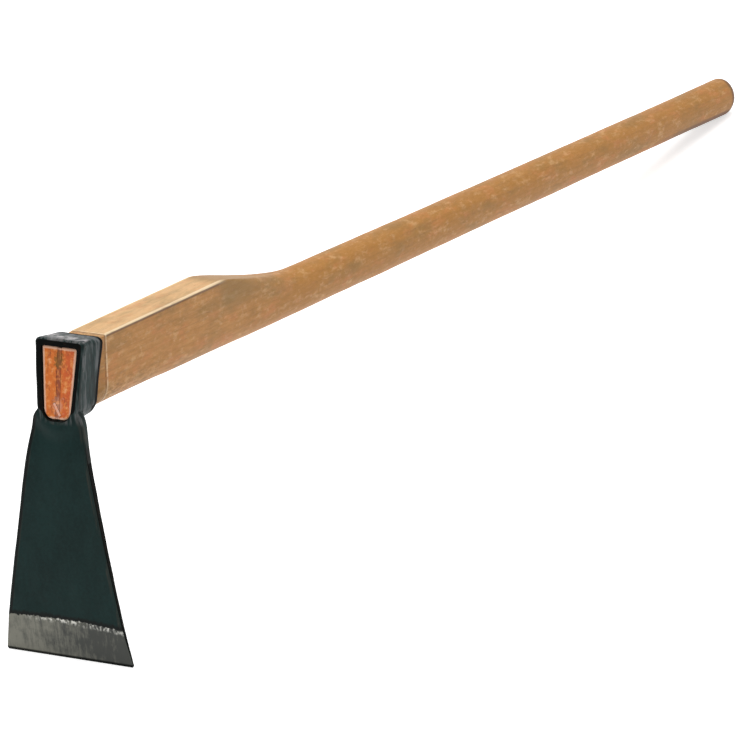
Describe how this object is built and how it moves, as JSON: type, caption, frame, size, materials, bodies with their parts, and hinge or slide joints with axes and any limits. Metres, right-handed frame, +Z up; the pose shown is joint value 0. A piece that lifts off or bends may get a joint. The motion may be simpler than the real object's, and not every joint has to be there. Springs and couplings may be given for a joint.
{
  "type": "tree planting hoe",
  "caption": "Tree planting hoe with an arched steel blade forged in one with its eye, and a straight ash handle with a square block, a scooped shoulder and an oval grip",
  "frame": {"origin": "bottom centre of the bounding box, on the ground plane that the cutting edge and the butt both rest on", "axes": "+Z up with the hoe lying on its cutting edge and butt, +X from the head to the butt along the handle's plan line, +Y square to the plane of symmetry; the handle's own axis falls 10.0 degrees towards +X"},
  "size_m": [1.0168, 0.1036, 0.2247],
  "materials": {
    "forging_paint": "dark green-black paint on a forging, semi-gloss, ground bare at the cutting edge",
    "ash": "planed and sanded ash, oiled, its end grain painted orange in the eye",
    "end_paint": "hardwood wedge under the orange end paint",
    "wedge_steel": "mild steel wedge, hammered flush"
  },
  "bodies": {
    "root": {"hoe_head": "forging_paint", "handle": "ash", "wooden_wedge": "end_paint", "steel_wedge": "wedge_steel"}
  },
  "joints": []
}
